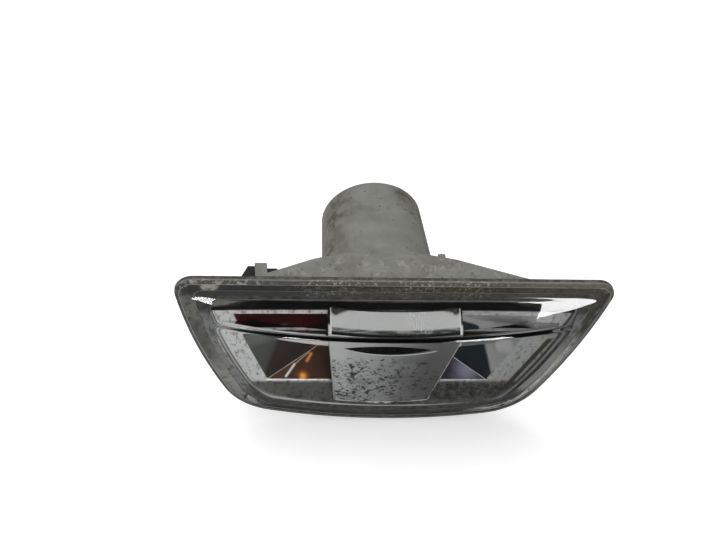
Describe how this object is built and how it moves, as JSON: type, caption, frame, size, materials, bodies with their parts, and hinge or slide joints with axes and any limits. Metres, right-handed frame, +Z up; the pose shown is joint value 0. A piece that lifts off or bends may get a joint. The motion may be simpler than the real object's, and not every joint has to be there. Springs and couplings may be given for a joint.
{
  "type": "side repeater lamp",
  "caption": "Car side repeater lamp: prow-shaped clear lens over a mirror reflector and keystone trim, on a grey housing with a rear tube, a panel clip and a twist-lock bulb holder.",
  "frame": {"origin": "where the tube's axis crosses the flange's rear face, which seats on the body panel", "axes": "+X to the right seen from the front, +Y back into the car along the tube, +Z up; the lens faces -Y"},
  "size_m": [0.1091, 0.0519, 0.0533],
  "materials": {
    "clear_lens": "clear moulded acrylic, dirty at the flange",
    "grey_housing": "light grey moulded plastic with grime",
    "metallised_mirror": "vacuum-metallised plastic, bright in the funnel",
    "metallised_trim": "vacuum-metallised plastic with dark specks",
    "black_plastic": "black moulded plastic",
    "seal_rubber": "soft black rubber",
    "contact_brass": "pressed brass strip",
    "amber_glass": "amber bulb glass",
    "wire_steel": "drawn wire"
  },
  "bodies": {
    "lamp_body": {"outer_lens": "clear_lens", "housing": "grey_housing", "reflector": "metallised_mirror", "centre_trim": "metallised_trim", "retaining_clip": "black_plastic"},
    "bulb_unit": {"bulb_holder": "black_plastic", "holder_seal": "seal_rubber", "contact_left": "contact_brass", "contact_right": "contact_brass", "bulb_glass": "amber_glass", "lead_wire_left": "wire_steel", "lead_wire_right": "wire_steel", "filament": "wire_steel"}
  },
  "joints": [
    {"name": "bulb_holder_twist", "type": "hinge", "parent": "lamp_body", "child": "bulb_unit", "pos_m": [0, 0.027, 0], "axis": [0, 1, 0], "range_deg": [0, 45]}
  ]
}
